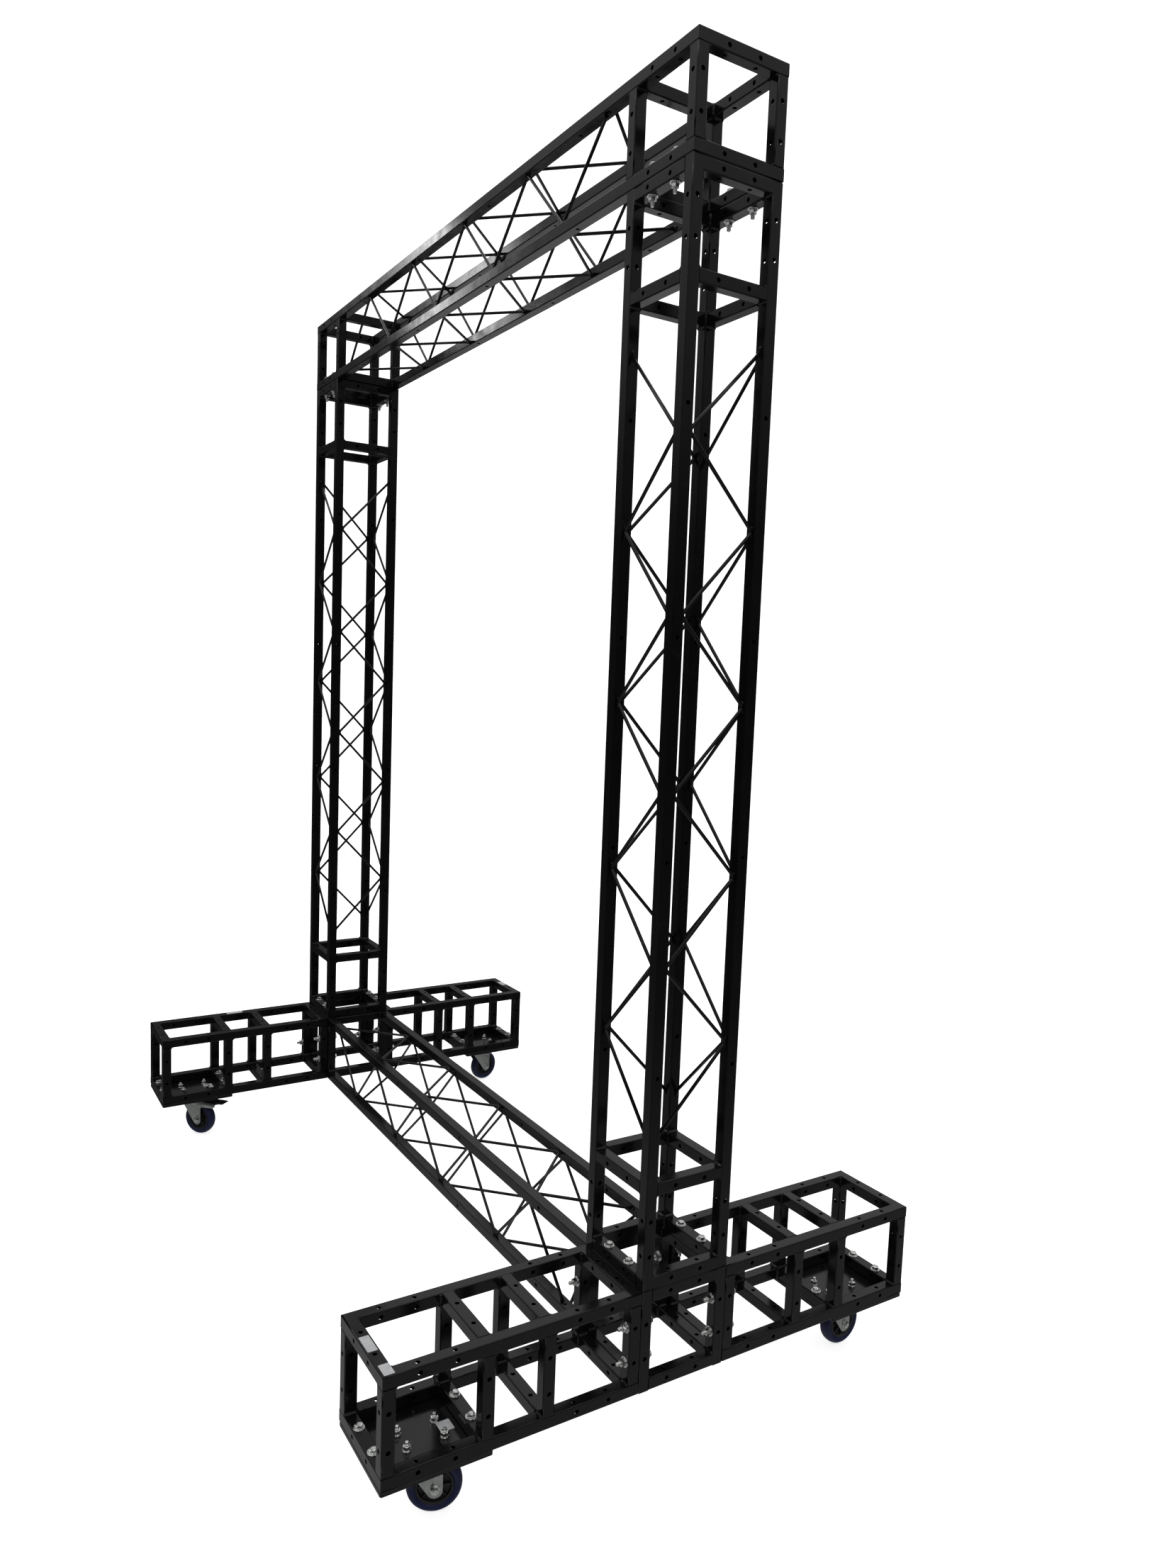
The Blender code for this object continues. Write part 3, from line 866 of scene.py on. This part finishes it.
def base_part():
    """Castor top plate, ball race and kingpin head, about the swivel axis at floor level."""
    piece = Piece()
    low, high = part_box("castor_base_front_right")
    piece.add(slab((high.x - low.x, high.y - low.y, 0.003), (0, 0, high.z - 0.0015), 0.008, 0.0006))
    cup = [(0, high.z - 0.002), (0.0185, high.z - 0.002), (0.0205, high.z - 0.0035),
           (0.0232, high.z - 0.0060), (0.0240, high.z - 0.0085), (0.0240, high.z - 0.0105),
           (0.0226, high.z - 0.0112), (0.0226, high.z - 0.0122), (0.0236, high.z - 0.0128),
           (0.0236, CROWN_TOP + 0.0004), (0.0060, CROWN_TOP + 0.0003), (0.0060, 0.1139),
           (0.0092, 0.1139), (0.0100, 0.1130), (0.0092, 0.1106), (0.0060, 0.1097), (0, 0.1095)]
    piece.add(turned(cup, 40))
    return piece


def axle_part():
    """Axle bolt along Z with a head, a nut and washers outside the fork's legs."""
    piece = Piece()
    out = FORK_MIDDLE + SHEET / 2
    chance = random.Random("axle")
    piece.add(disc(0.0049, -out - 0.001, out + 0.001, 0.0002, 20))
    for way in (-1, 1):
        turn = Matrix.Identity(4) if way == 1 else Matrix.Rotation(math.pi, 4, "X")
        piece.add(disc(0.0088, out + 0.00005, out + 0.0012), turn)
        spin = Matrix.Rotation(chance.uniform(0, 1), 4, "Z")
        piece.add(hex_part(0.0130, out + 0.0012, out + 0.0062), turn @ spin)
    piece.add(disc(0.0040, out + 0.005, out + 0.0082, 0.0006, 16))
    piece.add(disc(0.0036, -out - 0.0066, -out - 0.005, 0.0004, 16))
    return piece


def pedal_part():
    """Brake pedal, bent down behind its pivot and ribbed on its tread, about its pivot."""
    piece = Piece()
    top = [(-0.030, 0.0048), (0.006, 0.0052), (0.020, 0.0062), (0.0365, 0.0063), (0.0385, 0.0050)]
    under = [(0.0385, 0.0034), (0.0365, 0.0030), (0.022, 0.0012), (0.006, -0.0040), (-0.010, -0.0032),
             (-0.030, 0.0012)]
    piece.add(extruded(top + under, 0.0148, 0.0007))
    for k in range(3):
        y = 0.0225 + 0.0050 * k
        ridge = [(y, 0.0050), (y + 0.0022, 0.0050), (y + 0.0018, 0.0072), (y + 0.0004, 0.0072)]
        piece.add(extruded(ridge, 0.0125, 0.0003))
    piece.add(disc(0.0025, -0.0200, 0.0200, 0.0004, 16), Matrix.Rotation(math.pi / 2, 4, "Y"))
    return piece


PEDAL_PIVOT = (0.079, 0.1060)
for corner, sx, sy, yaw in CORNERS:
    low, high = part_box(f"mounting_plate_{corner}")
    plate_top = FRAME_Z - PLATE_GAP
    middle = (low + high) / 2
    plate = Piece()
    size = (high.x - low.x, high.y - low.y, PLATE)
    plate.add(slab(size, (middle.x, middle.y, plate_top - PLATE / 2), 0.004, 0.0008))
    show(f"mounting_plate_{corner}_steel", plate.mesh(f"mounting_plate_{corner}_steel"),
         [PLATE_COAT], "frame", [f"mounting_plate_{corner}"])

    swivel, axle = wheel_turn(yaw, sx, sy)
    under_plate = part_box(f"castor_base_{corner}")[1].z - BASE_SHEET
    studs = []
    for a in (-1, 1):
        for b in (-1, 1):
            spot = (sx * SWIVEL_X + a * STUD_X, sy * SWIVEL_Y + b * STUD_Y, under_plate)
            studs.append((spot, (0, 0, -1)))
    bolt_group(f"bolts_castor_{corner}", studs, plate_top - under_plate, STUD_TAIL, washer=0.0080)

    base = base_part().mesh(f"castor_base_{corner}_steel")
    show(f"castor_base_{corner}_steel", base, [FORK_ZINC], "frame",
         [f"castor_base_{corner}"], Matrix.Translation((sx * SWIVEL_X, sy * SWIVEL_Y, 0)), 32)
    braked = corner == "front_left"
    fork = show(f"castor_fork_{corner}_sheet", fork_mesh(f"castor_fork_{corner}_sheet", braked),
                [FORK_ZINC], f"swivel_{corner}", [f"castor_fork_{corner}"], swivel, 32)
    thicken(fork, SHEET, 0.0005)
    show(f"castor_axle_{corner}_bolt", axle_part().mesh(f"castor_axle_{corner}_bolt"), [ZINC],
         f"swivel_{corner}", [f"castor_axle_{corner}"], axle, 38)
    show(f"castor_hub_{corner}_moulding", hub_part().mesh(f"castor_hub_{corner}_moulding"), [HUB],
         f"wheel_{corner}", [f"castor_hub_{corner}"], axle, 32)
    tyre = Piece()
    tyre.add(tyre_part())
    show(f"castor_tyre_{corner}_rubber", tyre.mesh(f"castor_tyre_{corner}_rubber"), [TYRE],
         f"wheel_{corner}", [f"castor_tyre_{corner}"], axle, 40)
    if braked:
        show("brake_pedal_steel", pedal_part().mesh("brake_pedal_steel"), [PEDAL], "brake_pedal",
             ["castor_brake_front_left"],
             swivel @ Matrix.Translation((0, *PEDAL_PIVOT)), 34)


# ---------------------------------------------------------------- labels

LABEL_PAPER, LABEL_PRINT = 0.00025, 0.0001


def label(name, centre, size, print_share):
    """A blank label with a plain grey panel, lying on a surface."""
    piece = Piece()
    piece.add(slab((*size, LABEL_PAPER), (*centre[:2], centre[2] + LABEL_PAPER / 2), 0.0015, 0.00008))
    if print_share:
        width = size[1] * 0.62
        x = centre[0] + size[0] * (0.5 - print_share / 2) - 0.004
        panel = (x, centre[1], centre[2] + LABEL_PAPER + LABEL_PRINT / 2)
        piece.add(slab((size[0] * print_share, width, LABEL_PRINT), panel, 0.0004, 0.00003), slot=1)
    show(name, piece.mesh(name), [LABEL, PRINT], "frame")


beam_top = FRAME_Z + SECTION
edge = COLUMN_X + HALF
label("label_end_front_right", (edge - 0.097, -FOOT_END + 0.012, beam_top), (0.046, 0.018), 0.0)
label("label_corner_front_right", (edge - 0.019, -FOOT_END + 0.014, beam_top), (0.030, 0.019), 0.5)
label("label_plate_front_right", (edge - 0.098, -FOOT_END + 0.159, FRAME_Z - PLATE_GAP),
      (0.028, 0.026), 0.5)
label("label_side_front_left", (-edge + 0.012, -0.352, beam_top), (0.018, 0.050), 0.0)
label("label_plate_front_left", (-0.888, -0.453, FRAME_Z - PLATE_GAP), (0.044, 0.026), 0.3)
label("label_end_back_left", (-0.915, FOOT_END - 0.012, beam_top), (0.042, 0.018), 0.0)


# ---------------------------------------------------------------- studio

def staged(name, verts, faces, mat):
    """A part of the studio that only the camera sees, so that it adds no reflections."""
    mesh = bpy.data.meshes.new(name)
    mesh.from_pydata(verts, [], faces)
    mesh.materials.append(mat)
    ob = bpy.data.objects.new(name, mesh)
    bpy.context.scene.collection.objects.link(ob)
    ob.visible_diffuse = ob.visible_glossy = ob.visible_transmission = False
    ob.visible_shadow = False


def studio_white(name, glow):
    mat, shader, where = new_material(name, 0.9)
    tone = ramp(mat, noise(mat, where, 0.4), ((0.3, grey(0.92)), (0.7, grey(0.94))))
    link(mat, tone, shader, "Base Color")
    link(mat, tone, shader, "Emission Color")
    shader.inputs["Emission Strength"].default_value = glow
    shader.inputs["Specular IOR Level"].default_value = 0.0
    return mat


def softbox(name, location, target, size, energy):
    data = bpy.data.lights.new(name, "AREA")
    data.shape = "RECTANGLE"
    data.size, data.size_y = size
    data.energy = energy
    ob = bpy.data.objects.new(name, data)
    aim = (Vector(target) - Vector(location)).to_track_quat("-Z", "Y")
    ob.matrix_world = Matrix.Translation(location) @ aim.to_matrix().to_4x4()
    bpy.context.scene.collection.objects.link(ob)
    ob.visible_camera = False


STUDIO = 16.0
PANELS = 48
FLOOR_DROP = 0.0005
floor_corners = [(x * STUDIO, y * STUDIO, -FLOOR_DROP) for x, y in ((-1, -1), (1, -1), (1, 1), (-1, 1))]
staged("floor", floor_corners, [(0, 1, 2, 3)], studio_white("floor_white", 0.80))
angles = [2 * math.pi * k / PANELS for k in range(PANELS)]
circle = [(STUDIO * math.cos(a), STUDIO * math.sin(a)) for a in angles]
wall = [(x, y, z) for z in (-0.5, STUDIO) for x, y in circle]
panels = [(k, (k + 1) % PANELS, PANELS + (k + 1) % PANELS, PANELS + k) for k in range(PANELS)]
staged("backdrop", wall, panels + [tuple(range(PANELS, 2 * PANELS))], studio_white("backdrop_white", 1.1))

# Soft light all round: bright overhead, dim at the horizon, a little bounced from the floor, and
# much dimmer towards -X
world = bpy.data.worlds.new("studio")
world.use_nodes = True
tree = world.node_tree
direction = tree.nodes.new("ShaderNodeTexCoord")
split = tree.nodes.new("ShaderNodeSeparateXYZ")
glow = tree.nodes.new("ShaderNodeMapRange")
glow.inputs["From Min"].default_value = -1.0
sky = tree.nodes.new("ShaderNodeValToRGB")
SKY = ((0.0, 0.40), (0.27, 0.36), (0.34, 0.10), (0.46, 0.045), (0.56, 0.05), (0.62, 0.26),
       (0.68, 0.46), (0.78, 0.80), (1.0, 1.1))
while len(sky.color_ramp.elements) < len(SKY):
    sky.color_ramp.elements.new(0.5)
for element, (position, value) in zip(sky.color_ramp.elements, SKY):
    element.position = position
    element.color = (value, value, value, 1.0)
tree.links.new(direction.outputs["Generated"], split.inputs["Vector"])
tree.links.new(split.outputs["Z"], glow.inputs["Value"])
tree.links.new(glow.outputs["Result"], sky.inputs["Fac"])
shade = tree.nodes.new("ShaderNodeMapRange")
for socket, value in (("From Min", -0.96), ("From Max", -0.80), ("To Min", 0.12), ("To Max", 1.0)):
    shade.inputs[socket].default_value = value
tree.links.new(split.outputs["X"], shade.inputs["Value"])
tree.links.new(shade.outputs["Result"], tree.nodes["Background"].inputs["Strength"])
tree.links.new(sky.outputs["Color"], tree.nodes["Background"].inputs["Color"])
bpy.context.scene.world = world
softbox("window", (-4.6, -2.06, 4.15), (-0.10, -0.1, 2.45), (0.26, 0.7), 6)
softbox("floor_glow", (-5.6, 2.6, 0.01), (-5.6, 2.6, 3.0), (5.0, 3.0), 22)
bpy.context.scene.view_settings.view_transform = "Standard"

camera_data = bpy.data.cameras.new("camera")
camera_data.sensor_width = 36.0
camera_data.lens = 24.828
camera = bpy.data.objects.new("camera", camera_data)
camera.location = (2.5316, -1.2291, 1.4722)
camera.rotation_euler = [math.radians(a) for a in (84.3761, -2.1516, 58.0527)]
bpy.context.scene.collection.objects.link(camera)
bpy.context.scene.camera = camera
